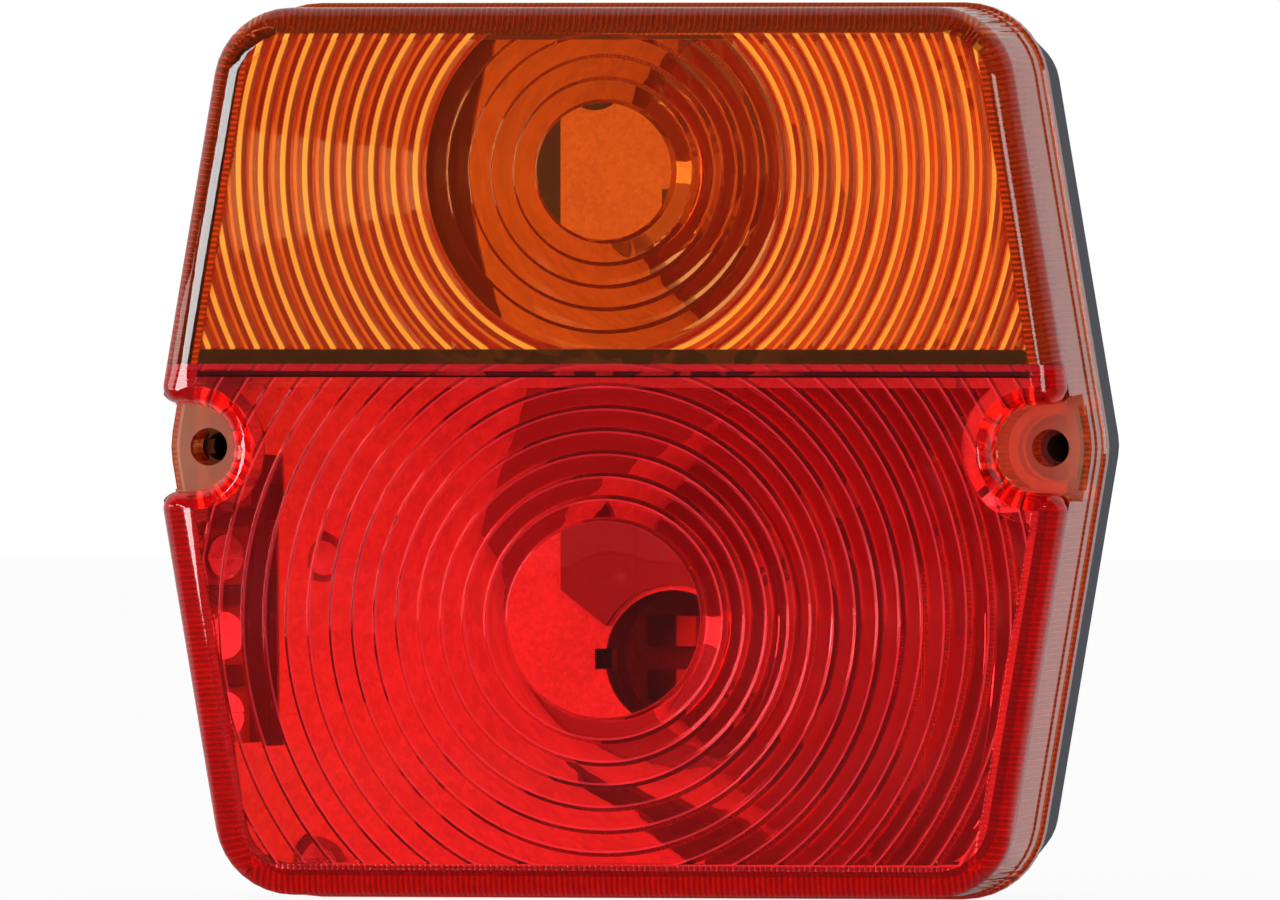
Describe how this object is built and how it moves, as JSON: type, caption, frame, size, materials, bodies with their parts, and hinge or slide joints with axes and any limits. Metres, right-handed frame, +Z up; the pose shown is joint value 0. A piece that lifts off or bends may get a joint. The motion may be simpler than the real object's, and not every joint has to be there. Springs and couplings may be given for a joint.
{
  "type": "tail light cluster",
  "caption": "Upright tail light cluster for a car: amber indicator window over a red stop and tail window with ring optics, on a deep black housing.",
  "frame": {"origin": "middle of the housing's mounting face, level with the two lens screw holes", "axes": "+Y out of the mounting face along the two mounting bolts, so the lamp faces -Y; +Z up, amber window uppermost; +X to the right as seen from the front"},
  "size_m": [0.1052, 0.0655, 0.0998],
  "materials": {
    "housing_plastic": "matt moulded, dark blue-grey",
    "grommet_rubber": "soft black rubber",
    "bolt_steel": "zinc plated, yellow passivated",
    "seal_foam": "closed-cell foam",
    "amber_acrylic": "clear orange acrylic, polished",
    "red_acrylic": "clear red acrylic, polished",
    "carrier_steel": "galvanised sheet with a grainy spangle",
    "screw_steel": "zinc plated",
    "rivet_aluminium": "plain",
    "socket_steel": "tinned pressed steel",
    "board_laminate": "phenolic paper laminate",
    "contact_brass": "bare strip",
    "block_plastic": "moulded, black"
  },
  "bodies": {
    "root": {"housing": "housing_plastic", "cable_grommet": "grommet_rubber", "mounting_bolts": "bolt_steel", "lens_seal": "seal_foam", "amber_lens": "amber_acrylic", "red_lens": "red_acrylic", "indicator_carrier": "carrier_steel", "stop_tail_carrier": "carrier_steel", "carrier_screws": "screw_steel", "carrier_rivets": "rivet_aluminium", "indicator_socket": "socket_steel", "stop_tail_socket": "socket_steel", "indicator_board": "board_laminate", "stop_tail_board": "board_laminate", "board_rivets": "rivet_aluminium", "indicator_contact": "contact_brass", "stop_contact": "contact_brass", "tail_contact": "contact_brass", "ground_strip": "contact_brass", "terminal_block": "block_plastic", "terminal_clamps": "contact_brass", "terminal_screws": "screw_steel"}
  },
  "joints": []
}
